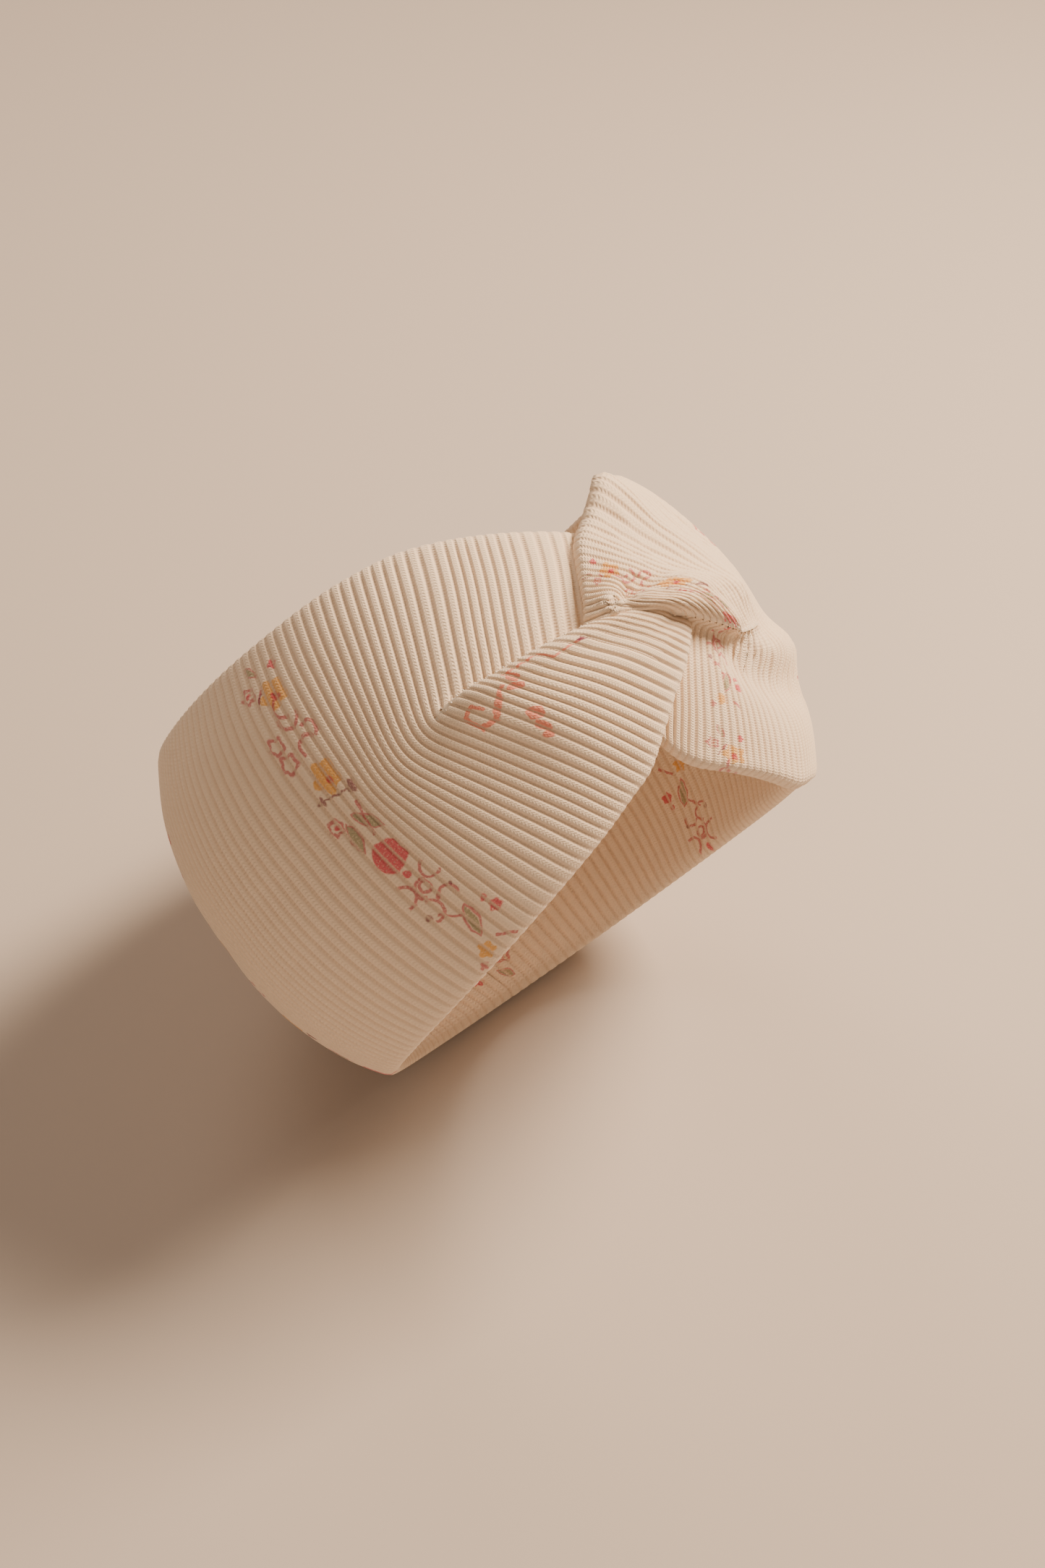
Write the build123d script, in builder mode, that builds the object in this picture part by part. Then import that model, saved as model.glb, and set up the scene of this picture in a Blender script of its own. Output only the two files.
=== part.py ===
"""Twist headband: a two-ply tube of rib knit whose two ends are folded, cupped into each other and sewn.

The frame is that of the wearer's head: the origin is the head's centre, +Z is up and -Y is the way the face looks.
The band lies round the head on a mid plane that leans, with the twist above the forehead and the nape low behind.
"""

import os
from math import cos, degrees, radians, sin

from build123d import *

# Driving dimensions, in millimetres and degrees
head_radius = 70.0  # a head of 44 cm, taken as a ball
head_clearance = 0.2
ply = 1.7  # one ply of the rib knit
ply_gap = 1.9  # between the outer and the inner ply
band_width = 95.0  # from folded edge to folded edge, along the outer face
edge_rounding = 2.4
lean = 60.0  # between the band's mid plane and the horizontal
fold_thickness = 4.6  # a front fold of the twist is two plies, loosely filled
fold_rounding = 1.5
seam_width = 7.0  # the long seam's allowance, pressed flat between the plies
seam_thickness = 1.3
thread_radius = 0.2
twist_seam_width = 8.0
twist_seam_length = 30.0
piece_gap = 0.05  # between stretches of cloth that lie on each other
stretch_gap = 0.3  # between the front body and the nape body

inner_radius = head_radius + head_clearance
inner_ply_top = inner_radius + ply
outer_ply_base = inner_ply_top + ply_gap
outer_radius = outer_ply_base + ply
fold_base = outer_radius + piece_gap
fold_radius = fold_base + fold_thickness
half_angle = degrees(band_width / 2 / outer_radius)
hollow_angle = half_angle - degrees(ply / inner_radius)  # where the outer ply turns in at the edge
inner_angle = hollow_angle - degrees(piece_gap / inner_radius)
seam_base = inner_ply_top + piece_gap
thread_centre = seam_base + thread_radius
beyond = 1.5 * fold_radius  # past the whole band

# The ring: knot points from the head's centre to the twist, ring_axis along the ring's own axis
knot = Vector(0, -cos(radians(lean)), sin(radians(lean)))
ring_axis = Vector(0, sin(radians(lean)), cos(radians(lean)))
section_plane = Plane((0, 0, 0), x_dir=knot, z_dir=(-1, 0, 0))  # x is the radius, y runs along the ring axis
front_plane = Plane((0, 0, 0), x_dir=(1, 0, 0), z_dir=knot)  # the twist as seen from in front
front_start = front_plane.offset(stretch_gap / 2)
axle = Axis((0, 0, 0), ring_axis)
knot_line = Axis((0, 0, 0), knot)


def at(around, across):
    """Where the front plane shows a place on the outer face, in degrees round the ring and across the band."""
    return (
        outer_radius * sin(radians(around)) * cos(radians(across)),
        outer_radius * sin(radians(across)),
    )


# The left arm as seen from in front. The right arm is the same arm, half a turn round the knot.
past_edge = half_angle + 2.0
upper_edge = [at(-55, past_edge), at(-32, 33), at(-18.5, 29.6), at(-6.4, 25.1), at(3.3, 18.9)]
lower_edge = [at(-78, -past_edge), at(-62, -32), at(-49, -30), at(-29, -23.5), at(-9, -16.7)]
tuck_lean = 27.5  # the line on which the arms meet under the folds leans this far from the ring axis
tuck_reach = 20.5  # how far along that line the upper edge comes
fold_edge = [at(-49, -29.4), at(-29, -23), at(-9.3, -16.2), at(-1.2, -9.8), at(6.0, -4.5)]
fold_ridge = [at(-6.0, 4.5), at(-9.0, 6.2), at(-21, 7.1), at(-36, 6)]


def along_tuck(distance, aside=0.0):
    """A point on the tuck line, or beside it by aside towards the left arm."""
    angle = radians(tuck_lean)
    return (
        distance * sin(angle) - aside * cos(angle),
        distance * cos(angle) + aside * sin(angle),
    )


def sector(low, high, angle, mode=Mode.ADD):
    """In the section, what lies between two radii and up to an angle each side of the mid plane."""
    with BuildLine() as outline:
        inside = CenterArc((0, 0), low, -angle, 2 * angle)
        outside = CenterArc((0, 0), high, -angle, 2 * angle)
        Line(inside @ 0, outside @ 0)
        Line(inside @ 1, outside @ 1)
    make_face(outline.edges(), mode=mode)


def arm_outline(aside):
    """The left arm from in front, ending beside the tuck line by aside."""
    with BuildLine() as outline:
        top = Spline(*upper_edge, along_tuck(tuck_reach, aside))
        bottom = Spline(*lower_edge, along_tuck(-tuck_reach, aside))
        Line(bottom @ 1, top @ 1)
        Polyline(top @ 0, (-beyond, beyond), (-beyond, -beyond), bottom @ 0)
    make_face(outline.edges())


def sew(piece, name):
    """Label a finished piece and write it."""
    piece.part.label = name
    export_step(piece.part, f"parts/{name}.step")


os.makedirs("parts", exist_ok=True)

# Plies: the outer ply turns in round both folded edges of the band, and the inner ply lies between its returns
with BuildSketch(section_plane) as outer_section:
    sector(inner_radius, outer_radius, half_angle)
    fillet(outer_section.vertices(), edge_rounding)
    sector(head_radius / 2, outer_ply_base, hollow_angle, mode=Mode.SUBTRACT)

with BuildSketch(section_plane) as inner_section:
    sector(inner_radius, inner_ply_top, inner_angle)

with BuildSketch(front_start) as outer_outline:
    arm_outline(piece_gap / 2)

with BuildSketch(front_start) as inner_outline:
    arm_outline(twist_seam_width / 2 + piece_gap)

with BuildPart() as left_outer_ply:
    revolve(outer_section.sketch, axis=axle)
    extrude(outer_outline.sketch, amount=beyond, mode=Mode.INTERSECT)

with BuildPart() as left_inner_ply:
    revolve(inner_section.sketch, axis=axle)
    extrude(inner_outline.sketch, amount=beyond, mode=Mode.INTERSECT)

# Front fold of the twist: the arm's lower half, which sweeps up over the other arm and tucks in at the middle
with BuildSketch(front_start) as fold_outline:
    with BuildLine():
        edge = Spline(*fold_edge)
        ridge = Spline(*fold_ridge)
        Line(edge @ 1, ridge @ 0)
        ThreePointArc(ridge @ 1, at(-47, -12), edge @ 0)
    make_face()

with BuildPart() as left_twist_fold:
    extrude(fold_outline.sketch, amount=beyond)
    Sphere(fold_radius, mode=Mode.INTERSECT)
    Sphere(fold_base, mode=Mode.SUBTRACT)
    top_face = left_twist_fold.faces().sort_by(SortBy.AREA)[-1]
    fillet(top_face.edges(), fold_rounding)

# The tube's long seam, between the plies on the mid plane: its allowance, and the thread along the raw edge
with BuildSketch(section_plane) as seam_section:
    with Locations((seam_base + seam_thickness / 2, 0)):
        Rectangle(seam_thickness, seam_width)

with BuildSketch(section_plane) as thread_section:
    with Locations((thread_centre, -seam_width / 2 - piece_gap - thread_radius)):
        Circle(thread_radius)

with BuildPart() as left_seam_allowance:
    revolve(seam_section.sketch, axis=axle)
    extrude(inner_outline.sketch, amount=beyond, mode=Mode.INTERSECT)

with BuildPart() as left_seam_thread:
    revolve(thread_section.sketch, axis=axle)
    extrude(inner_outline.sketch, amount=beyond, mode=Mode.INTERSECT)

# Nape: the half of the ring behind, one body that moves away from the front as the knit stretches
with BuildSketch(front_plane.offset(-stretch_gap / 2)) as nape_outline:
    Rectangle(2 * beyond, 2 * beyond)

with BuildPart() as nape_outer_ply:
    revolve(outer_section.sketch, axis=axle)
    extrude(nape_outline.sketch, amount=-beyond, mode=Mode.INTERSECT)

with BuildPart() as nape_inner_ply:
    revolve(inner_section.sketch, axis=axle)
    extrude(nape_outline.sketch, amount=-beyond, mode=Mode.INTERSECT)

with BuildPart() as nape_seam_allowance:
    revolve(seam_section.sketch, axis=axle)
    extrude(nape_outline.sketch, amount=-beyond, mode=Mode.INTERSECT)

with BuildPart() as nape_seam_thread:
    revolve(thread_section.sketch, axis=axle)
    extrude(nape_outline.sketch, amount=-beyond, mode=Mode.INTERSECT)

# Twist seam: its allowance lies against the head along the tuck line, between the two inner plies, and its thread
# runs along the allowance's outer side
tuck_direction = ring_axis * cos(radians(tuck_lean)) + Vector(1, 0, 0) * sin(radians(tuck_lean))
tuck_plane = Plane((0, 0, 0), x_dir=knot, z_dir=knot.cross(tuck_direction))
tuck_angle = degrees(twist_seam_length / 2 / inner_radius)

with BuildSketch(tuck_plane) as twist_seam_section:
    sector(inner_radius, inner_ply_top, tuck_angle)

with BuildPart() as twist_seam_allowance:
    extrude(twist_seam_section.sketch, amount=twist_seam_width / 2, both=True)

with BuildPart() as twist_seam_thread:
    with BuildLine(tuck_plane) as twist_seam_path:
        CenterArc((0, 0), thread_centre, -tuck_angle, 2 * tuck_angle)
    with BuildSketch(Plane(twist_seam_path.line @ 0, z_dir=twist_seam_path.line % 0)):
        Circle(thread_radius)
    sweep()

# The right arm, its seam and its fold
for left, name in (
    (left_outer_ply, "arm_outer_ply"),
    (left_inner_ply, "arm_inner_ply"),
    (left_twist_fold, "twist_fold"),
    (left_seam_allowance, "arm_seam_allowance"),
    (left_seam_thread, "arm_seam_thread"),
):
    with BuildPart() as right:
        add(left.part.rotate(knot_line, 180))
    sew(left, f"left_{name}")
    sew(right, f"right_{name}")

sew(nape_outer_ply, "nape_outer_ply")
sew(nape_inner_ply, "nape_inner_ply")
sew(nape_seam_allowance, "nape_seam_allowance")
sew(nape_seam_thread, "nape_seam_thread")
sew(twist_seam_allowance, "twist_seam_allowance")
sew(twist_seam_thread, "twist_seam_thread")
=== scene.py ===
from math import cos, pi, radians, sin

import bpy
import numpy as np
from mathutils import Matrix, Vector

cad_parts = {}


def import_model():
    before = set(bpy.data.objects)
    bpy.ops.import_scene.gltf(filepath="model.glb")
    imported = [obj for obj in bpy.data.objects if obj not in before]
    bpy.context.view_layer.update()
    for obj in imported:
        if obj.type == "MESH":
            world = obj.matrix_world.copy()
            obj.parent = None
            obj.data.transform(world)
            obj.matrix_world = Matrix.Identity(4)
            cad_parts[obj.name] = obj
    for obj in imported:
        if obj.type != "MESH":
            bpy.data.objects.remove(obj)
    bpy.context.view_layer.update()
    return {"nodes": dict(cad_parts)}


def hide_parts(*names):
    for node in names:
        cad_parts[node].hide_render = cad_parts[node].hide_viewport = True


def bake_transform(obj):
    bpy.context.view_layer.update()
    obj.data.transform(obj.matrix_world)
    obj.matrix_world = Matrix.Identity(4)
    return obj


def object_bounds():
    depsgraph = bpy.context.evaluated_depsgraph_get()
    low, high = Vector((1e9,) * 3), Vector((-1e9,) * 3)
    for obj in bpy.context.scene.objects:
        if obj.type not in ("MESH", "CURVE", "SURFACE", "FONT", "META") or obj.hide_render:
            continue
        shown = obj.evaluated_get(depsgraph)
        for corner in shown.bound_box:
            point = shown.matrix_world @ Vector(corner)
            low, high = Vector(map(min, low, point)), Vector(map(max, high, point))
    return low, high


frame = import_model()

# -------------------------------------------------------------------------------------------------
# The head's frame and the camera
# The band leans back from the face: the knot points up and forward from the head's centre, and the
# ring's axis runs from the chin side to the crown side. Places on the band are degrees round the
# ring from the knot, degrees across the band from its middle, and a radius in millimetres.
# -------------------------------------------------------------------------------------------------
LEAN = radians(60)
KNOT = np.array((0.0, -cos(LEAN), sin(LEAN)))
SIDE = np.array((1.0, 0.0, 0.0))
RING = np.array((0.0, sin(LEAN), cos(LEAN)))
MM = 0.001

CAMERA_DISTANCE = 0.502
CAMERA_AZIMUTH = radians(-45)
CAMERA_ELEVATION = radians(43)
CAMERA_ROLL = radians(3)


def on_head(around, across, radius):
    """Points in millimetres from degrees round the ring, degrees across it and a radius."""
    a, c = np.radians(around)[..., None], np.radians(across)[..., None]
    in_ring = np.cos(a) * KNOT + np.sin(a) * SIDE
    return radius[..., None] * (np.cos(c) * in_ring + np.sin(c) * RING)


camera = bpy.data.objects.new("camera", bpy.data.cameras.new("camera"))
bpy.context.scene.collection.objects.link(camera)
camera.data.lens = 50
camera.data.sensor_fit = "VERTICAL"
camera.data.sensor_height = 36
camera.data.shift_x = 0.015
camera.data.shift_y = -0.0101
back = Vector((
    sin(CAMERA_AZIMUTH) * cos(CAMERA_ELEVATION),
    -cos(CAMERA_AZIMUTH) * cos(CAMERA_ELEVATION),
    sin(CAMERA_ELEVATION),
))
right = Vector((cos(CAMERA_AZIMUTH), sin(CAMERA_AZIMUTH), 0))
up = back.cross(right)
tilted_right = cos(CAMERA_ROLL) * right + sin(CAMERA_ROLL) * up
tilted_up = cos(CAMERA_ROLL) * up - sin(CAMERA_ROLL) * right
turn = Matrix((tilted_right, tilted_up, back)).transposed().to_4x4()
camera.matrix_world = Matrix.Translation(back * CAMERA_DISTANCE) @ turn
bpy.context.scene.camera = camera

# -------------------------------------------------------------------------------------------------
# The two arms of the band
# One strip of soft cotton rib knit, sewn into a tube of two plies and printed with garlands of small
# flowers. Its two ends are folded in half, cupped into each other and sewn, which makes the twist.
# -------------------------------------------------------------------------------------------------
ARM_RIBS = 88  # from the twist seam to the middle of the nape
POINTS_PER_RIB = 8
CLOTH_THICKNESS = 4.6  # both plies, in millimetres
BAND_RADIUS = 75.5
RIB_DEPTH = 0.6
RIB_RISE = 0.3  # the share of a rib's depth that stands above the cloth's own face
RIB_PITCH = 2.75  # stretched, in millimetres
HALF_ARC = 47.5  # half of a ply's width, in millimetres
EDGE_ROUND = 0.07  # the share of the half width over which the folded edge is round
EDGE_REACH = 4  # how near the folded edge its tension flattens the ribs, in millimetres
EDGE_FLATTENING = 0.8
FLAT_BOW = 1.2  # how far the cloth bows out between its edges and its middle, in millimetres
TWIST_PINCH = 0.06  # the share of the thickness that is left where the twist seam grips the cloth
FOLD_THINNING = 0.9  # the share of the thickness that a tight fold squeezes out
SEAM_GROOVE = 0.7  # how deep the long seam draws the inner ply in, in millimetres
SEAM_GROOVE_WIDTH = 1.3
END_EASING = 90  # rounds of blurring that melt a fold's end into the cloth

# Each arm's outer face is led by three lines: the free edge, which sweeps over the other arm, the
# crease under the fold, and the far edge, which the other arm covers. The right arm's places are
# given as if it were a left arm, and it is laid half a turn round the knot.
LED_RIBS = [0, 3, 8, 11.5, 15, 18.5, 21, 26, 36.4, 50, 62, 80, 88]
LEFT_LINES = {
    "free": [
        (10.5, -1.5, 75.5), (7.4, -4.4, 77.8), (2.2, -8.8, 79), (-2.6, -12.4, 78.6), (-7, -16.4, 77.8),
        (-11.6, -20, 77), (-15.8, -21.6, 76.5), (-24.2, -24.6, 76), (-49.3, -30.8, 75.6),
        (-83.5, -35.4, 75), (-113.5, -37, 74.6), (-156.3, -37, 75), (-180, -37, 75),
    ],
    "crease": [
        (3.5, 2.4, 74.5), (-2, 2.4, 76.5), (-9.6, 3.4, 76.2), (-17, 4.2, 75.8), (-23.2, 4.6, 75.5),
        (-28.7, 5.2, 75.5), (-33.5, 5.4, 75.5), (-41, 4.2, 75.5), (-54.1, 1, 75.5),
        (-86.2, 0, 75), (-113.5, 0, 74.3), (-156.3, 0, 75), (-180, 0, 75),
    ],
    "far": [
        (10, 13, 73), (8, 17, 73.6), (2.6, 21.4, 74.6), (-4.8, 25.6, 75.3), (-10.7, 29, 75.4),
        (-16.4, 31.8, 75.5), (-22.2, 34.2, 75.5), (-33.5, 36.4, 75.5), (-58.3, 37.6, 75.7),
        (-89.2, 37.4, 76.8), (-113.5, 37, 78.2), (-156.3, 37, 76), (-180, 37, 75.5),
    ],
}
RIGHT_LINES = {
    "free": [
        (11, -1.5, 75.5), (8.6, -5, 77.4), (5.4, -9.6, 78.4), (3, -12.8, 78.2), (-0.8, -17.2, 78.2),
        (-6.4, -20.2, 79), (-11.6, -23.2, 82.7), (-19.6, -26.4, 77), (-46.6, -33, 72),
        (-83.5, -36, 73), (-113.5, -37, 74), (-156.3, -37, 75.2), (-180, -37, 75.5),
    ],
    "crease": [
        (0.8, -2.2, 72.5), (-3.6, 0.4, 76.6), (-9.2, 3.9, 76.8), (-12.8, 6.3, 76.2), (-17, 7.8, 75),
        (-23, 8.4, 73.6), (-28, 8.4, 72.4), (-38, 7.4, 71), (-54.1, 3, 69.6),
        (-86.2, 0, 70.6), (-113.5, 0, 73), (-156.3, 0, 74.8), (-180, 0, 75),
    ],
    "far": [
        (7, 13, 73), (6, 18, 73.6), (1.6, 23.8, 74.6), (-4.8, 27.4, 75), (-10.9, 30.4, 75),
        (-17.5, 33.4, 75), (-24, 36, 75), (-35.5, 37.4, 74), (-58.3, 37.4, 72.3),
        (-89.2, 37.2, 73.2), (-113.5, 37, 74), (-156.3, 37, 74.8), (-180, 37, 75),
    ],
}


def between_ends(a, b, slope_a, slope_b, step, t):
    """A cubic from a to b, t of the way along a step, that leaves and arrives at the two slopes."""
    return (
        a * (1 + 2 * t) * (1 - t) ** 2
        + slope_a * step * t * (1 - t) ** 2
        + b * t * t * (3 - 2 * t)
        + slope_b * step * t * t * (t - 1)
    )


def line_through(keys, values, x):
    """A smooth curve through values at keys, read at x."""
    keys, values = np.asarray(keys, float), np.asarray(values, float)
    slope = np.gradient(values, keys)
    i = np.clip(np.searchsorted(keys, x, side="right") - 1, 0, len(keys) - 2)
    step = keys[i + 1] - keys[i]
    return between_ends(values[i], values[i + 1], slope[i], slope[i + 1], step, (x - keys[i]) / step)


def smooth(low, high, x):
    """0 at low and 1 at high, with a soft start and end."""
    t = np.clip((x - low) / (high - low), 0, 1)
    return t * t * (3 - 2 * t)


def led_line(keys, places, rib):
    """One leading line: its places (around, across, radius) at some ribs, read at every rib."""
    around, across, radius = (line_through(keys, column, rib) for column in zip(*places))
    return np.stack([around, across, radius], axis=-1)


def section(lines, rib, across, roll, bulge, opens, crown):
    """An arm's outer face, in millimetres: rows across the cloth by columns along it.
    across runs from -1 at the free edge to 1 at the far edge. roll is the fold's height at each rib,
    and opens tells between which ribs the fold opens out. crown is the fold's shape: shares of roll
    beyond the crease and above it."""
    keys = np.array((-1.0, -0.75, -0.48, -0.26, -0.14, -0.05, 0.02, 0.09, 0.33, 0.66, 1.0))
    free, crease, far = (lines[name] for name in ("free", "crease", "far"))
    onward = crease[:, :2] - free[:, :2]
    length = np.linalg.norm(onward, axis=1)
    onward = onward / length[:, None]
    degree = np.degrees(1 / BAND_RADIUS)
    fold = smooth(opens[1], opens[0], rib)

    def near_crease(along, lift):
        place = crease.copy()
        place[:, :2] += onward * (along * degree)[:, None]
        place[:, 2] += lift
        return place

    def before(share, lift):
        share = (share * (1 + crown[0][0] * roll * degree / length))[:, None]
        place = crease * share + free * (1 - share)
        place[:, 2] += lift
        return place

    def behind(share):
        return crease * (1 - share) + far * share

    folded = [
        free,
        before(0.3, 0.3 * roll + 0.5 * bulge),
        before(0.65, 0.66 * roll + bulge),
        *(near_crease(beyond * roll, above * roll) for beyond, above in crown),
        behind(0.3),
        behind(0.65),
        far,
    ]
    flat = []
    for key in keys:
        share = abs(key)
        place = crease * (1 - share) + (far if key > 0 else free) * share
        place[:, 2] += FLAT_BOW * share * (1 - share)
        flat.append(place)
    places = np.stack([f * fold[:, None] + g * (1 - fold[:, None]) for f, g in zip(folded, flat)])
    points = on_head(places[..., 0], places[..., 1], places[..., 2])
    slope = np.zeros_like(points)
    slope[1:-1] = (points[2:] - points[:-2]) / (keys[2:] - keys[:-2])[:, None, None]
    slope[0] = (points[1] - points[0]) / (keys[1] - keys[0])
    slope[-1] = (points[-1] - points[-2]) / (keys[-1] - keys[-2])
    i = np.clip(np.searchsorted(keys, across, side="right") - 1, 0, len(keys) - 2)
    step = (keys[i + 1] - keys[i])[:, None, None]
    t = (across - keys[i])[:, None, None] / step
    return between_ends(points[i], points[i + 1], slope[i], slope[i + 1], step, t)


def normals_of(points):
    """The outward direction at each point of a grid of rows by columns."""
    down = np.gradient(points, axis=0)
    along = np.gradient(points, axis=1)
    out = np.cross(down, along)
    out /= np.maximum(np.linalg.norm(out, axis=-1, keepdims=True), 1e-9)
    return -out if (out * points).sum() < 0 else out


def blurred(grid, rounds):
    """The grid with each value drawn towards its neighbours, rows and columns alike."""
    for _ in range(rounds):
        padded = np.pad(grid, ((1, 1), (1, 1), (0, 0)), mode="reflect", reflect_type="odd")
        beside = padded[2:, 1:-1] + padded[:-2, 1:-1] + padded[1:-1, 2:] + padded[1:-1, :-2]
        grid = (4 * grid + beside) / 8
    return grid


def raised(outer, rib, across, line, height, width, ends=(0.35, 0.35)):
    """A soft fold pressed into or out of the cloth along a line of (rib, across) places. ends tells
    over what share of the line it grows and dies away; height and width are in millimetres."""
    steps = np.linspace(0, 1, 40)
    stops = np.asarray(line, float)
    at_rib, at_across = (line_through(np.linspace(0, 1, len(stops)), stops[:, i], steps) for i in (0, 1))
    column = np.clip(np.round(at_rib * POINTS_PER_RIB).astype(int), 0, len(rib) - 1)
    row = np.abs(across[:, None] - at_across).argmin(axis=0)
    gap = np.linalg.norm(outer[:, :, None] - outer[row, column], axis=-1)
    nearest = gap.argmin(axis=-1)
    grow = smooth(-1e-3, ends[0], steps) * smooth(-1e-3, ends[1], 1 - steps)
    on_layer = smooth(0.5, 0.3, np.abs(across[:, None] - at_across[nearest]))
    lift = height * grow[nearest] * on_layer * np.exp(-((gap.min(axis=-1) / width) ** 2))
    return outer + normals_of(outer) * lift[..., None]


def arm_cloth(lines, roll_heights, bulges, opens, crown, softness, folds):
    """One arm's ribs, its rows across the cloth and its outer face."""
    rib = np.linspace(0, ARM_RIBS, ARM_RIBS * POINTS_PER_RIB + 1)
    led = {name: led_line(LED_RIBS, places, rib) for name, places in lines.items()}
    roll = line_through(LED_RIBS, roll_heights, rib)
    bulge = line_through(LED_RIBS, bulges, rib)
    across = np.concatenate([
        np.linspace(-1, -0.3, 26)[:-1],
        np.linspace(-0.3, 0.12, 26)[:-1],
        np.linspace(0.12, 1, 26),
    ])
    outer = blurred(section(led, rib, across, roll, bulge, opens, crown), softness)
    near_end = smooth(opens[0] + 1, opens[0] + 6, rib) * smooth(opens[1] + 10, opens[1] + 2, rib)
    eased = smooth(0.8, 0.5, np.abs(across))[:, None, None] * near_end[None, :, None]
    outer = outer + eased * (blurred(outer, END_EASING) - outer)
    for fold in folds:
        outer = raised(outer, rib, across, **fold)
    return rib, across, outer


def read_across(grid, across, rows):
    """The grid's values at other rows across the cloth."""
    columns = [
        np.stack([np.interp(rows, across, grid[:, c, axis]) for axis in range(3)], axis=-1)
        for c in range(grid.shape[1])
    ]
    return np.stack(columns, axis=1)


def edge_drop(half, rows):
    """How far the folded edges round off, at each row across the cloth and each rib."""
    beyond = np.clip((np.abs(rows) - (1 - EDGE_ROUND)) / EDGE_ROUND, 0, 1)
    return half[None, :] * (1 - np.sqrt(1 - beyond * beyond))[:, None]


def tube(rib, across, outer):
    """Both plies as one open strip, from the long seam round the free edge, the outer face and the
    far edge back to the seam. Gives the points, each row's place round the tube in millimetres, and
    the thickness at each rib under the fold."""
    out = normals_of(blurred(outer, 2))
    half = CLOTH_THICKNESS / 2 * (TWIST_PINCH + (1 - TWIST_PINCH) * smooth(0, 2.5, rib))
    front = outer - out * edge_drop(half, across)[..., None]
    half_rows = np.concatenate([[0.022, 0.05], np.linspace(0.1, 0.86, 14), np.linspace(0.9, 0.995, 5)])
    rows = np.concatenate([-half_rows[::-1], [0], half_rows])
    at_crease = 1 - smooth(0.16, 0.34, np.abs(across + 0.05))
    at_throat = 1 - smooth(0.42, 0.6, np.abs(across + 0.25))
    thinned = FOLD_THINNING * np.maximum(
        smooth(28, 20, rib)[None, :] * at_crease[:, None],
        smooth(15, 9, rib)[None, :] * at_throat[:, None],
    )
    thickness = 2 * half * (1 - thinned)
    inner_face = read_across(outer - out * thickness[..., None], across, rows)
    groove_shape = np.exp(-((rows * HALF_ARC / SEAM_GROOVE_WIDTH) ** 2))[:, None]
    groove = SEAM_GROOVE * groove_shape * np.minimum(half / 2, 1)
    back = inner_face + read_across(out, across, rows) * (edge_drop(half, rows) + groove)[..., None]
    middle = len(rows) // 2
    points = np.concatenate([back[: middle + 1][::-1], front, back[middle:][::-1]])
    round_mm = HALF_ARC * np.concatenate([
        -2 - rows[: middle + 1][::-1],
        across,
        2 - rows[middle:][::-1],
    ])
    return points, round_mm, thickness[np.abs(across).argmin()]


def linked(name, mesh):
    """A new object in the scene with this mesh."""
    piece = bpy.data.objects.new(name, mesh)
    bpy.context.scene.collection.objects.link(piece)
    return piece


def grid_object(name, points, closed=False):
    """A mesh of a grid of rows by columns, in millimetres. closed joins the last row to the first."""
    rows, columns = points.shape[:2]
    index = np.arange(rows * columns).reshape(rows, columns)
    if closed:
        index = np.concatenate([index, index[:1]])
    corners = (index[:-1, :-1], index[:-1, 1:], index[1:, 1:], index[1:, :-1])
    faces = np.stack(corners, axis=-1).reshape(-1, 4)
    mesh = bpy.data.meshes.new(name)
    mesh.vertices.add(rows * columns)
    mesh.vertices.foreach_set("co", (points * MM).astype(np.float32).ravel())
    mesh.loops.add(faces.size)
    mesh.loops.foreach_set("vertex_index", faces.astype(np.int32).ravel())
    mesh.polygons.add(len(faces))
    mesh.polygons.foreach_set("loop_start", np.arange(0, faces.size, 4, dtype=np.int32))
    mesh.polygons.foreach_set("loop_total", np.full(len(faces), 4, dtype=np.int32))
    mesh.update(calc_edges=True)
    mesh.polygons.foreach_set("use_smooth", np.ones(len(faces), bool))
    return linked(name, mesh)


def cloth_piece(name, rib, round_mm, points, print_x, print_y, arm):
    """The strip with its ribs raised. "rest" stores its place in the flat cloth, in ribs and
    millimetres; "print" stores its place in the pattern, in millimetres, and which arm it is."""
    out = normals_of(blurred(points, 1))
    furrow = (0.5 - 0.5 * np.cos(2 * np.pi * (rib - 0.5))) ** 3
    lift = RIB_DEPTH * (RIB_RISE - furrow)
    at_edge = np.exp(-(((np.abs(round_mm) - HALF_ARC) / EDGE_REACH) ** 2))
    fade = smooth(0, 1.5, rib)[None, :] * (1 - EDGE_FLATTENING * at_edge)[:, None]
    piece = grid_object(name, points + out * (lift[None, :] * fade)[..., None])
    for attribute, values in (
        ("rest", (rib[None, :], round_mm[:, None], 0)),
        ("print", (print_x[None, :], print_y, arm)),
    ):
        place = np.stack([np.broadcast_to(v, points.shape[:2]) for v in values], axis=-1)
        stored_place = piece.data.attributes.new(attribute, "FLOAT_VECTOR", "POINT")
        stored_place.data.foreach_set("vector", place.astype(np.float32).ravel())
    return piece


def bends_with_head(piece):
    """Bakes the piece's place in the scene into its mesh."""
    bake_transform(piece)


# The left arm: its fold is a sharp ridge that dies away along the band.
LEFT_ROLL = [3, 4.4, 4.8, 4.6, 4.4, 3.9, 3.2, 2, 0.5, 0, 0, 0, 0]
LEFT_BULGE = [0.8, 0.6, 0.5, 0.7, 0.8, 0.8, 0.8, 0.5, 0, 0, 0, 0, 0]
LEFT_CROWN = [(-1.1, 0.98), (-0.25, 1), (0.32, 0.62), (0.25, 0.2), (-0.06, 0.02)]
LEFT_OPENS = (17, 27)
LEFT_SOFTNESS = 3
LEFT_FOLDS = [
    {"line": [(0, -0.5), (3, -0.52), (6, -0.5), (10, -0.45)], "height": -0.9, "width": 2, "ends": (0, 0.5)},
]
LEFT_GARLAND_RIB = 36.4  # the rib in the middle of the arm's first garland

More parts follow.
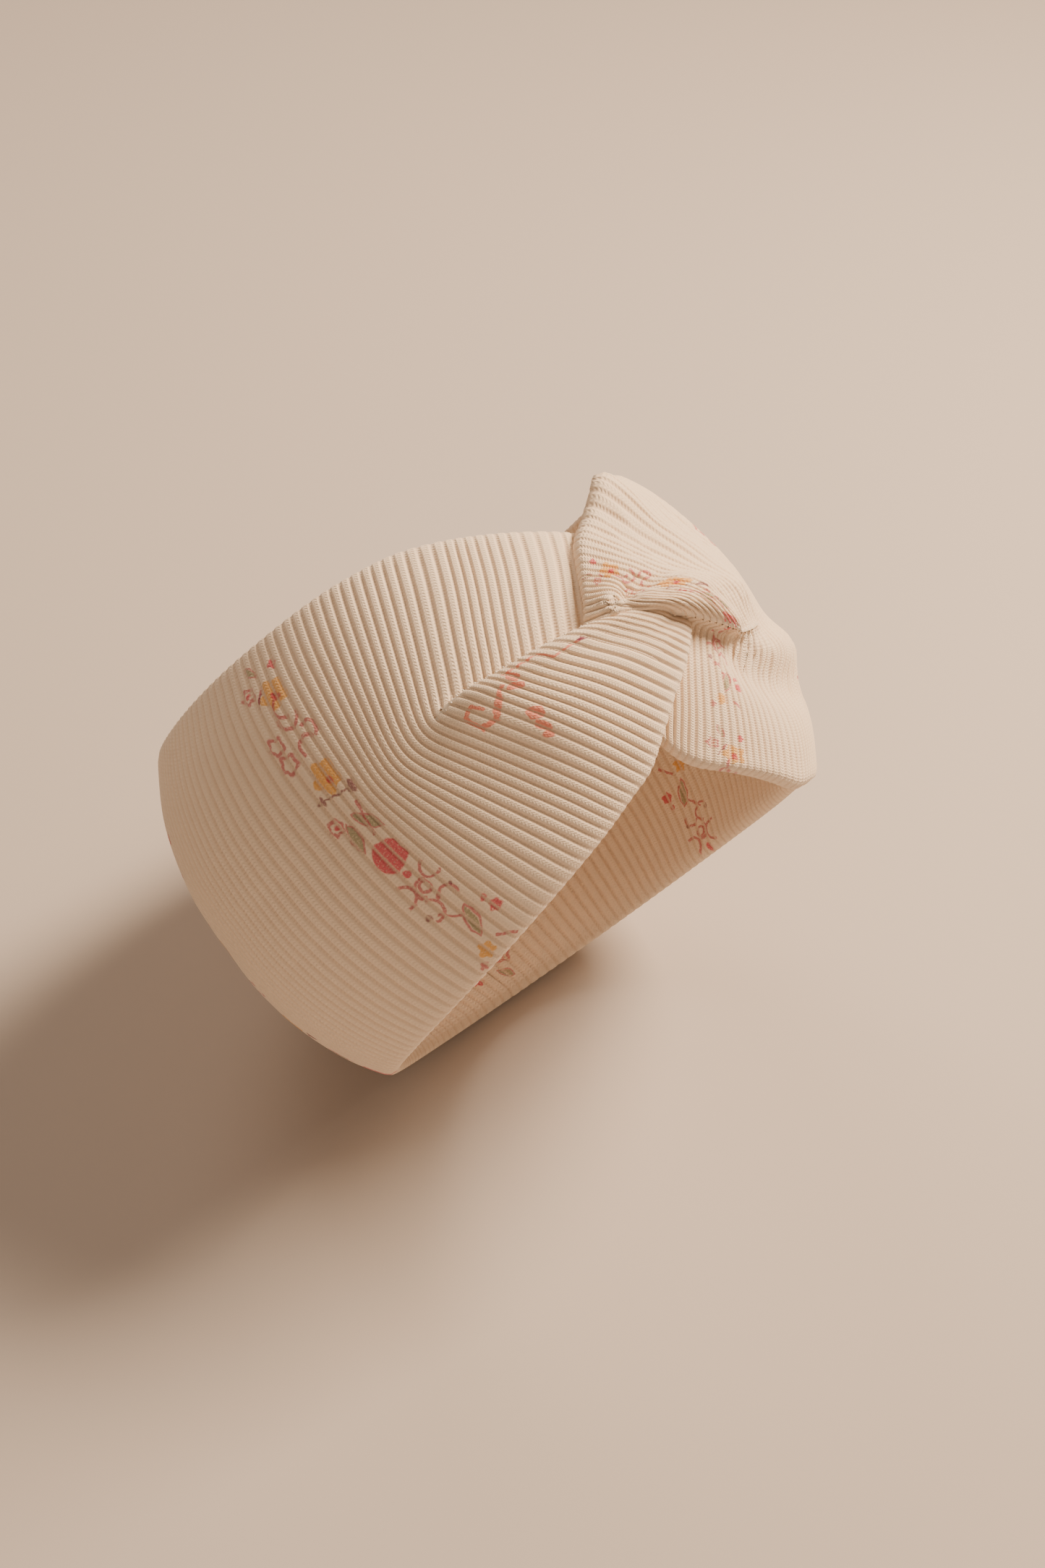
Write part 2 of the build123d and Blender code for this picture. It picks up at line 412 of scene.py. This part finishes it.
rib, across, left_outer = arm_cloth(
    LEFT_LINES, LEFT_ROLL, LEFT_BULGE, LEFT_OPENS, LEFT_CROWN, LEFT_SOFTNESS, LEFT_FOLDS
)
left_points, round_mm, left_thickness = tube(rib, across, left_outer)
left_print_x = (rib - LEFT_GARLAND_RIB) * RIB_PITCH
left_cloth = cloth_piece("left_arm_cloth", rib, round_mm, left_points, left_print_x, round_mm[:, None], 0)

# The right arm: its fold is a soft roll over the knot, and its free edge stands up in a peak.
RIGHT_ROLL = [3.5, 5.8, 7, 6.6, 6, 5.4, 4.6, 2.4, 0, 0, 0, 0, 0]
RIGHT_BULGE = [0, 1.2, 0.6, 0.2, 0, 0, 0, 0, 0, 0, 0, 0, 0]
RIGHT_CROWN = [(-1.4, 0.92), (-0.7, 1), (0.02, 0.8), (0.42, 0.42), (0.16, 0.05)]
RIGHT_OPENS = (12, 23)
RIGHT_SOFTNESS = 10
RIGHT_FOLDS = [
    {"line": [(1, -0.45), (4, -0.52), (8, -0.57), (12, -0.52), (18, -0.42)], "height": -3.4, "width": 2.8,
     "ends": (0.45, 0.6)},
    {"line": [(2, -0.64), (5, -0.68), (9, -0.7), (14, -0.62)], "height": 1.2, "width": 2.4,
     "ends": (0.4, 0.5)},
    {"line": [(14, -0.8), (21, -0.7), (28, -0.6), (38, -0.4)], "height": -2.2, "width": 8},
    {"line": [(8, -0.36), (14, -0.34), (20, -0.24), (27, -0.08)], "height": 2.6, "width": 5},
    {"line": [(14, 0.02), (20, 0.12), (28, 0.2), (36, 0.28), (44, 0.3)], "height": 2.2, "width": 5},
    {"line": [(9, 0.1), (14, 0.2), (20, 0.34), (28, 0.44), (40, 0.54)], "height": -2.2, "width": 5},
]
RIGHT_GARLAND_RIB = 11
PRINT_SHIFT = 10.9  # how far the print lies towards the free edge near the knot, in millimetres
PRINT_STRETCH = 0.17  # the share by which the gathers draw it closer there

rib, across, right_outer = arm_cloth(
    RIGHT_LINES, RIGHT_ROLL, RIGHT_BULGE, RIGHT_OPENS, RIGHT_CROWN, RIGHT_SOFTNESS, RIGHT_FOLDS
)
half_turn = 2 * np.outer(KNOT, KNOT) - np.eye(3)
right_points, round_mm, right_thickness = tube(rib, across, right_outer)
right_points = right_points @ half_turn.T
gathered = smooth(40, 20, rib)
right_print_x = (RIGHT_GARLAND_RIB - rib) * RIB_PITCH
right_print_y = -(round_mm[:, None] + PRINT_SHIFT * gathered) / (1 - PRINT_STRETCH * gathered)
right_cloth = cloth_piece("right_arm_cloth", rib, round_mm, right_points, right_print_x, right_print_y, 1)

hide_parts("left_arm_outer_ply", "left_arm_inner_ply", "left_twist_fold", "nape_outer_ply")
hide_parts("right_arm_outer_ply", "right_arm_inner_ply", "right_twist_fold", "nape_inner_ply")
for piece in (left_cloth, right_cloth):
    bends_with_head(piece)


class Wire:
    """A shader socket that can be added, multiplied and compared like a number."""

    def __init__(self, tree, socket=None):
        self.tree, self.socket = tree, socket

    def node(self, kind, settings, inputs, output=0):
        """Any other node: its type, its settings, its inputs (wires or constants), and which output."""
        made = self.tree.nodes.new(kind)
        for name, value in settings.items():
            setattr(made, name, value)
        for name, value in inputs.items():
            if isinstance(value, Wire):
                self.tree.links.new(value.socket, made.inputs[name])
            else:
                made.inputs[name].default_value = value
        return Wire(self.tree, made.outputs[output])

    def sum(self, operation, *others):
        return self.node("ShaderNodeMath", {"operation": operation}, dict(enumerate([self, *others])))

    def __add__(self, other):
        return self.sum("ADD", other)

    def __sub__(self, other):
        return self.sum("SUBTRACT", other)

    def __mul__(self, other):
        return self.sum("MULTIPLY", other)

    def __truediv__(self, other):
        return self.sum("DIVIDE", other)

    __radd__ = __add__
    __rmul__ = __mul__

    def __rsub__(self, other):
        return self * -1 + other

    def __pow__(self, other):
        return self.sum("POWER", other)

    def __abs__(self):
        return self.sum("ABSOLUTE")

    def between(self, low, high):
        """0 below low and 1 above high, or the other way round when low is the larger."""
        ends = {"From Min": low, "From Max": high, "To Min": 0, "To Max": 1}
        if low > high:
            ends = {"From Min": high, "From Max": low, "To Min": 1, "To Max": 0}
        settings = {"interpolation_type": "SMOOTHSTEP"}
        return self.node("ShaderNodeMapRange", settings, {"Value": self, **ends})

    def mixed(self, other, share):
        """This colour turned towards another."""
        return self.node("ShaderNodeMix", {"data_type": "RGBA"}, {0: share, 6: self, 7: other}, output=2)

    def colour(self, value):
        """One colour, as the start of a mix."""
        made = self.node("ShaderNodeRGB", {}, {})
        made.socket.default_value = value
        return made

    def into(self, shader, name):
        """Feed this to a socket of a shader."""
        self.tree.links.new(self.socket, shader.inputs[name])


def strongest(wires):
    best = wires[0]
    for wire in wires[1:]:
        best = best.sum("MAXIMUM", wire)
    return best


# The knit's colour: warm cream, with painted shade in the furrows between the ribs and between the
# knitted loops. The ink sits on the ribs and mostly misses the furrows. Each ink is its colour and how
# strongly it covers.
CREAM = (0.87, 0.69, 0.505, 1)
# The colour of the painted shade in the furrows between the ribs.
FURROW_SHADE = (0.58, 0.38, 0.24, 1)
INKS = {
    "olive": ((0.18, 0.18, 0.07, 1), 0.68),
    "ochre": ((0.78, 0.36, 0.05, 1), 0.84),
    "rose": ((0.5, 0.07, 0.1, 1), 0.76),
    "pink": ((0.62, 0.025, 0.075, 1), 0.84),
    "plum": ((0.2, 0.03, 0.06, 1), 0.78),
    "coral": ((0.8, 0.16, 0.1, 1), 0.8),
}
GARLAND_EVERY = 70.73  # along the cloth, in millimetres: about twenty-six ribs
GARLAND_ROUND = 95.0  # how long a garland is before it starts again, in millimetres
GARLAND_STAGGER = 31  # how much further round each garland starts than the last one
PRINT_WANDER = 0.9  # how unsteadily the motifs are drawn, in millimetres
STITCH = 0.85  # one knitted loop, in millimetres
ARMS_APART = 50  # keeps the two arms' noise from repeating

knit = bpy.data.materials.new("printed_rib_knit")
knit.use_nodes = True
surface = knit.node_tree.nodes["Principled BSDF"]
yarn = Wire(knit.node_tree)


def stored(name):
    """The three parts of a place that is stored at the mesh's points."""
    place = yarn.node("ShaderNodeAttribute", {"attribute_name": name}, {}, output=1)
    return [yarn.node("ShaderNodeSeparateXYZ", {}, {0: place}, output=i) for i in range(3)]


rib_number, round_tube, _ = stored("rest")
print_x, print_y, which_arm = stored("print")
cloth_place = yarn.node(
    "ShaderNodeCombineXYZ", {}, {0: rib_number * RIB_PITCH, 1: round_tube, 2: which_arm * ARMS_APART}
)


def mottle(size, detail):
    """Noise over the cloth, with features of a size in millimetres."""
    return yarn.node("ShaderNodeTexNoise", {}, {"Vector": cloth_place, "Scale": 1 / size, "Detail": detail})


in_rib = abs(rib_number.sum("FRACT") - 0.5) * 2
crest = in_rib.between(1, 0.45)
garland = (print_x / GARLAND_EVERY).sum("ROUND")
u = print_x - garland * GARLAND_EVERY + (mottle(2.2, 1) - 0.5) * PRINT_WANDER
started = garland * (garland + 1) * (GARLAND_STAGGER / 2)
rounds = (print_y + started + GARLAND_ROUND / 2) / GARLAND_ROUND
v = (rounds - rounds.sum("FLOOR") - 0.5) * GARLAND_ROUND + (mottle(1.7, 1) - 0.5) * PRINT_WANDER


def far_from(at_u, at_v):
    return ((u - at_u) ** 2 + (v - at_v) ** 2).sum("SQRT")


def disc(at_u, at_v, radius):
    return far_from(at_u, at_v).between(radius + 0.25, radius - 0.25)


def ring(at_u, at_v, radius, width=0.5):
    return abs(far_from(at_u, at_v) - radius).between(width + 0.15, width - 0.2)


def arc(at_u, at_v, radius, towards, width=0.48, opening=-0.3):
    """Part of a ring, facing an angle in degrees."""
    facing = ((u - at_u) * cos(radians(towards)) + (v - at_v) * sin(radians(towards))) / radius
    return ring(at_u, at_v, radius, width) * facing.between(opening, opening + 0.2)


def flower(at_u, at_v, radius, petals, depth=0.25, hollow=0.0):
    """A flower of round petals, solid or only its outline."""
    angle = (v - at_v).sum("ARCTAN2", u - at_u)
    reach = far_from(at_u, at_v) / (1 + (angle * petals).sum("COSINE") * depth)
    solid = reach.between(radius + 0.25, radius - 0.25)
    if hollow:
        return solid * reach.between(radius - hollow - 0.3, radius - hollow)
    return solid


def leaf(at_u, at_v, length, width, towards, rim=0.0):
    """A pointed leaf, solid or only its rim."""
    c, s = cos(radians(towards)), sin(radians(towards))
    p = ((u - at_u) * c + (v - at_v) * s) / length
    q = abs((v - at_v) * c - (u - at_u) * s)
    inside = (1 - p * p) * width - q
    body = inside.between(-0.15, 0.2)
    return body * inside.between(rim + 0.2, rim - 0.2) if rim else body


def stroke(u0, v0, u1, v1, width=0.38):
    """A straight line of ink from one place to another."""
    length = ((u1 - u0) ** 2 + (v1 - v0) ** 2) ** 0.5
    c, s = (u1 - u0) / length, (v1 - v0) / length
    p = (u - u0) * c + (v - v0) * s
    q = abs((v - v0) * c - (u - u0) * s)
    beyond = abs(p - length / 2) - length / 2
    return q.sum("MAXIMUM", beyond).between(width + 0.15, width - 0.15)


def branch(places, widths):
    """Strokes that follow each other, each with its own width."""
    return [stroke(*a, *b, width) for a, b, width in zip(places, places[1:], widths)]


motifs = {
    "pink": [
        flower(0.2, -12, 4, 5, 0.06), disc(0.4, -17.6, 1), flower(-7, -37, 1.5, 5, 0.12),
        disc(-6.6, -33.8, 0.8), flower(-3.4, 38, 1.1, 4), disc(-0.8, 31, 0.9), disc(-1.2, 8.6, 0.9),
        disc(5.6, 35, 0.7), disc(5, 0.6, 0.6),
    ],
    "rose": [
        flower(5.6, 35, 2, 5, 0.15, 0.7), flower(5, 21.4, 2.2, 5, 0.15, 0.75),
        flower(4.6, 16.6, 2.3, 5, 0.15, 0.75), flower(5, 0.6, 2, 6, 0.1, 0.7), flower(5, -45, 1, 4),
        arc(-1, 25, 2.7, -80), arc(-1.4, 27.6, 2.6, 10), arc(-4.2, 19.6, 2, 150), arc(-2, 17, 2.3, 60),
        arc(0, -22.6, 2.2, 40), ring(-0.4, -22.4, 1.3, 0.4), arc(-4.6, -20, 2.4, -20, 0.4),
        arc(4.6, -21, 2.6, 190, 0.4), arc(2.6, -27.4, 2.6, 200, 0.4), arc(-2.4, -27.4, 2.2, 120, 0.4),
        leaf(-1.5, -35.4, 4.4, 1.8, -70, 0.55), leaf(3.2, 40, 2.6, 1.2, 60, 0.4),
        leaf(3.2, -4, 4.2, 1.6, 100, 0.45), leaf(-2.2, -3, 4.6, 1.7, 55, 0.45),
        stroke(-3.4, 1.5, -1, -6), stroke(2.4, -29, -1, -33, 0.3), stroke(-2.2, -42, -5, -45, 0.4),
        stroke(1.6, 35, 3.4, 32, 0.3),
    ],
    "ochre": [
        flower(-0.8, 31.5, 3.5, 5, 0.16), flower(-1, 9.5, 3.6, 5, 0.16), flower(1.6, -42.6, 1.9, 5, 0.2),
    ],
    "olive": [
        leaf(3.2, -4, 3.8, 1.2, 100), leaf(-2.2, -3, 4.1, 1.3, 55), leaf(-1.5, -35.4, 3.8, 1.1, -70),
        leaf(3.2, 40, 2.2, 0.8, 60),
    ],
    "plum": [
        flower(3.8, 6.2, 1, 3), flower(-5, 4.2, 1.3, 3), stroke(3.2, 6, -4.4, 4.4, 0.2),
        stroke(2.4, 33.4, 4, 30.8, 0.24), disc(4.2, -28, 0.8), disc(-0.9, 31.3, 0.35),
        disc(-1.2, 8.7, 0.35), disc(-4.6, -26, 0.5),
    ],
    "coral": [
        *branch([(-3.4, -8.2), (3.1, -9.6), (3.6, -5.4), (12.4, -5.8)], (0.4, 0.45, 0.5)),
        *branch(
            [(16, -9.6), (20.4, -13), (25.4, -15), (28.6, -13.6), (28, -10), (24.6, -9), (24.2, -12)],
            (0.5, 0.55, 0.6, 0.6, 0.55, 0.5),
        ),
        leaf(12.3, -8.4, 2.8, 1.5, -70), leaf(14.6, -11.9, 2.2, 1.4, 0), leaf(20.2, -19, 2.4, 1.4, -10),
        leaf(22.4, -21.6, 1.8, 1.2, -70), disc(24, -23.6, 1),
    ],
}
beside_ridge = (garland + 1).sum("COMPARE", 0, 0.5) * (1 - which_arm)
coverage = (in_rib.between(0.98, 0.6) * 0.8 + 0.2) * mottle(0.5, 2).between(0.12, 0.5)

wale = abs((rib_number * 2 + 0.5).sum("FRACT") - 0.5) * 2
loops = (round_tube / STITCH + wale * 0.45) * (2 * pi)
loop_rise = (loops.sum("SINE") * 0.5 + 0.5) * wale.between(1.05, 0.35)
fuzz = mottle(0.35, 3)

# Painted shade: the cream is darkened towards the furrow colour in the furrows between the ribs and between
# the knitted loops, with a random tone on top; the print is mixed over it.
shade = (1 - crest) * 0.34 + (1 - loop_rise) * 0.08 + (mottle(6, 2) - 0.5) * 0.12
shaded_and_printed = yarn.colour(CREAM).mixed(FURROW_SHADE, shade)
for ink, (ink_colour, strength) in INKS.items():
    where = beside_ridge if ink == "coral" else 1 - beside_ridge
    shaded_and_printed = shaded_and_printed.mixed(ink_colour, strongest(motifs[ink]) * where * coverage * strength)
shaded_and_printed = shaded_and_printed.mixed(INKS["plum"][0], flower(-4, -8.2, 1.1, 3) * beside_ridge * coverage)
shaded_and_printed.into(surface, "Base Color")

relief = {"Strength": 0.6, "Distance": 0.3 * MM, "Height": loop_rise * 0.7 + fuzz * 0.6}
yarn.node("ShaderNodeBump", {}, relief).into(surface, "Normal")
(0.84 + fuzz * 0.12).into(surface, "Roughness")
surface.inputs["Sheen Weight"].default_value = 0.25
surface.inputs["Sheen Roughness"].default_value = 0.6
surface.inputs["Specular IOR Level"].default_value = 0.25
for piece in (left_cloth, right_cloth):
    piece.data.materials.append(knit)

# -------------------------------------------------------------------------------------------------
# The seam allowances
# The strip's two raw edges, joined and pressed to one side between the plies, run along each arm.
# Inside the twist the two gathered ends are joined the same way. All are the knit's plain back.
# -------------------------------------------------------------------------------------------------
ALLOWANCE_ROWS = 5  # rows of the inner ply's grid that the allowance lies behind
ALLOWANCE_DEPTHS = (0.24, 0.5)  # where its two faces lie, as shares of the cloth's thickness


def seam_allowance(name, points, thickness):
    """A closed flat tube behind the inner ply, from the first whole rib to the nape."""
    inward = -normals_of(points)[:ALLOWANCE_ROWS]
    near, beyond = (
        points[:ALLOWANCE_ROWS] + inward * (depth * thickness)[None, :, None] for depth in ALLOWANCE_DEPTHS
    )
    return grid_object(name, np.concatenate([near, beyond[::-1]])[:, POINTS_PER_RIB:], closed=True)


def plain_textile(name, colour, grain, depth):
    """A matt textile of one colour with a fine grain; grain and depth are in millimetres."""
    made = bpy.data.materials.new(name)
    made.use_nodes = True
    shader = made.node_tree.nodes["Principled BSDF"]
    fibre = Wire(made.node_tree)
    place = fibre.node("ShaderNodeTexCoord", {}, {}, output=3)
    noise = fibre.node("ShaderNodeTexNoise", {}, {"Vector": place, "Scale": 1 / (grain * MM), "Detail": 3})
    darker = tuple(part * 0.72 for part in colour[:3]) + (1,)
    fibre.colour(colour).mixed(darker, noise.between(0.35, 0.75) * 0.6).into(shader, "Base Color")
    relief = {"Strength": 0.5, "Distance": depth * MM, "Height": noise}
    fibre.node("ShaderNodeBump", {}, relief).into(shader, "Normal")
    shader.inputs["Roughness"].default_value = 0.9
    shader.inputs["Sheen Weight"].default_value = 0.2
    return made


def finish_node(name, material):
    """Give a piece that is carried over from the solid model its material."""
    for slot in frame["nodes"][name].material_slots:
        slot.material = material


inner_knit = plain_textile("inner_knit", (0.8, 0.67, 0.52, 1), 0.8, 0.3)
left_allowance = seam_allowance("left_seam_allowance", left_points, left_thickness)
right_allowance = seam_allowance("right_seam_allowance", right_points, right_thickness)
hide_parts("left_arm_seam_allowance", "nape_seam_allowance")
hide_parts("right_arm_seam_allowance", "nape_seam_allowance")
for piece in (left_allowance, right_allowance):
    piece.data.materials.append(inner_knit)
    bends_with_head(piece)
finish_node("twist_seam_allowance", inner_knit)

# -------------------------------------------------------------------------------------------------
# The seam threads
# Spun cotton overlock thread. On the long seam its slanting stitches show as a ladder across the
# closed seam on the inside; the twist seam's thread lies round the joined ends inside the twist.
# -------------------------------------------------------------------------------------------------
THREAD_RADIUS = 0.2  # millimetres
THREAD_SIDES = 6
STITCHES_PER_RIB = 1.35
STITCH_REACH = 1.15  # half of a stitch's width across the seam, in millimetres
STITCH_SLANT = 0.45  # half of its length along the seam
STITCH_BOW = 0.25  # how far its ends dip below its middle
STITCH_HEIGHT = 0.62  # the share of the groove's depth at which it lies


def thread_rings(centres):
    """Rings of points round each thread in centres, an array of threads by points by axes."""
    along = np.gradient(centres, axis=1)
    along /= np.linalg.norm(along, axis=-1, keepdims=True)
    first = np.cross(along, centres)
    first /= np.linalg.norm(first, axis=-1, keepdims=True)
    second = np.cross(along, first)
    turn = np.linspace(0, 2 * np.pi, THREAD_SIDES, endpoint=False)[:, None, None, None]
    return centres + THREAD_RADIUS * (np.cos(turn) * first + np.sin(turn) * second)


def threads(name, centres):
    """One mesh of many short threads with closed ends."""
    rings = thread_rings(centres)
    sides, count, points = rings.shape[:3]
    vertices, faces = [], []
    for thread in range(count):
        start = len(vertices)
        vertices += [tuple(rings[side, thread, p] * MM) for p in range(points) for side in range(sides)]
        for p in range(points - 1):
            for side in range(sides):
                a, b = start + p * sides + side, start + p * sides + (side + 1) % sides
                faces.append((a, b, b + sides, a + sides))
        faces.append(tuple(start + side for side in range(sides))[::-1])
        faces.append(tuple(start + (points - 1) * sides + side for side in range(sides)))
    mesh = bpy.data.meshes.new(name)
    mesh.from_pydata(vertices, [], faces)
    mesh.polygons.foreach_set("use_smooth", np.ones(len(faces), bool))
    return linked(name, mesh)


def seam_thread(name, points):
    """The ladder over one arm's seam, along which the strip's first and last rows meet."""
    facing = normals_of(points)[0]
    across_seam = points[2] - points[-3]
    across_seam /= np.linalg.norm(across_seam, axis=-1, keepdims=True)
    along_seam = np.gradient(points[0], axis=0)
    along_seam /= np.linalg.norm(along_seam, axis=-1, keepdims=True)
    at_rib = np.arange(2, ARM_RIBS - 0.3, 1 / STITCHES_PER_RIB)
    at = np.round(at_rib * POINTS_PER_RIB).astype(int)
    step = np.linspace(-1, 1, 5)[None, :, None]
    return threads(name, (
        points[0][at][:, None]
        + across_seam[at][:, None] * step * STITCH_REACH
        + along_seam[at][:, None] * step * STITCH_SLANT
        + facing[at][:, None] * (SEAM_GROOVE * STITCH_HEIGHT - STITCH_BOW * step ** 2)
    ))


cotton_thread = plain_textile("cotton_thread", (0.86, 0.76, 0.62, 1), 0.25, 0.1)
left_thread = seam_thread("left_seam_thread", left_points)
right_thread = seam_thread("right_seam_thread", right_points)
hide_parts("left_arm_seam_thread", "nape_seam_thread")
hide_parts("right_arm_seam_thread", "nape_seam_thread")
for piece in (left_thread, right_thread):
    piece.data.materials.append(cotton_thread)
    bends_with_head(piece)
finish_node("twist_seam_thread", cotton_thread)

# -------------------------------------------------------------------------------------------------
# The floor and the lights
# A plain pale floor just under the band. A small warm lamp from the upper right is the main light;
# a wide lamp from the left and one from behind keep the shaded sides readable.
# -------------------------------------------------------------------------------------------------
FLOOR_REACH = 3.0
FLOOR_GAP = 0.001
FLOOR_COLOUR = (0.5, 0.43, 0.375, 1)

floor_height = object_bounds()[0][2] - FLOOR_GAP
corners = [(x * FLOOR_REACH, y * FLOOR_REACH, floor_height) for x, y in ((-1, -1), (1, -1), (1, 1), (-1, 1))]
floor_mesh = bpy.data.meshes.new("floor")
floor_mesh.from_pydata(corners, [], [(0, 1, 2, 3)])
floor = linked("floor", floor_mesh)
floor_paint = bpy.data.materials.new("floor_paint")
floor_paint.use_nodes = True
floor_paint.node_tree.nodes["Principled BSDF"].inputs["Base Color"].default_value = FLOOR_COLOUR
floor_paint.node_tree.nodes["Principled BSDF"].inputs["Roughness"].default_value = 0.9
floor_mesh.materials.append(floor_paint)


def soft_light(name, place, size, watts, colour):
    """A square lamp that faces the head's centre."""
    light = linked(name, bpy.data.lights.new(name, "AREA"))
    light.data.size = size
    light.data.energy = watts
    light.data.color = colour
    light.location = place
    light.rotation_euler = (-Vector(place)).to_track_quat("-Z", "Y").to_euler()


soft_light("key", (0.6, -0.2, 0.72), 0.4, 27, (1, 0.79, 0.58))
soft_light("fill", (-0.8, -0.5, 0.5), 0.9, 3.2, (1, 0.82, 0.66))
soft_light("rim", (0.2, 0.8, 0.7), 0.5, 4, (1, 0.82, 0.66))
world = bpy.data.worlds.new("studio")
world.use_nodes = True
world.node_tree.nodes["Background"].inputs["Color"].default_value = (0.42, 0.3, 0.22, 1)
world.node_tree.nodes["Background"].inputs["Strength"].default_value = 0.42
bpy.context.scene.world = world
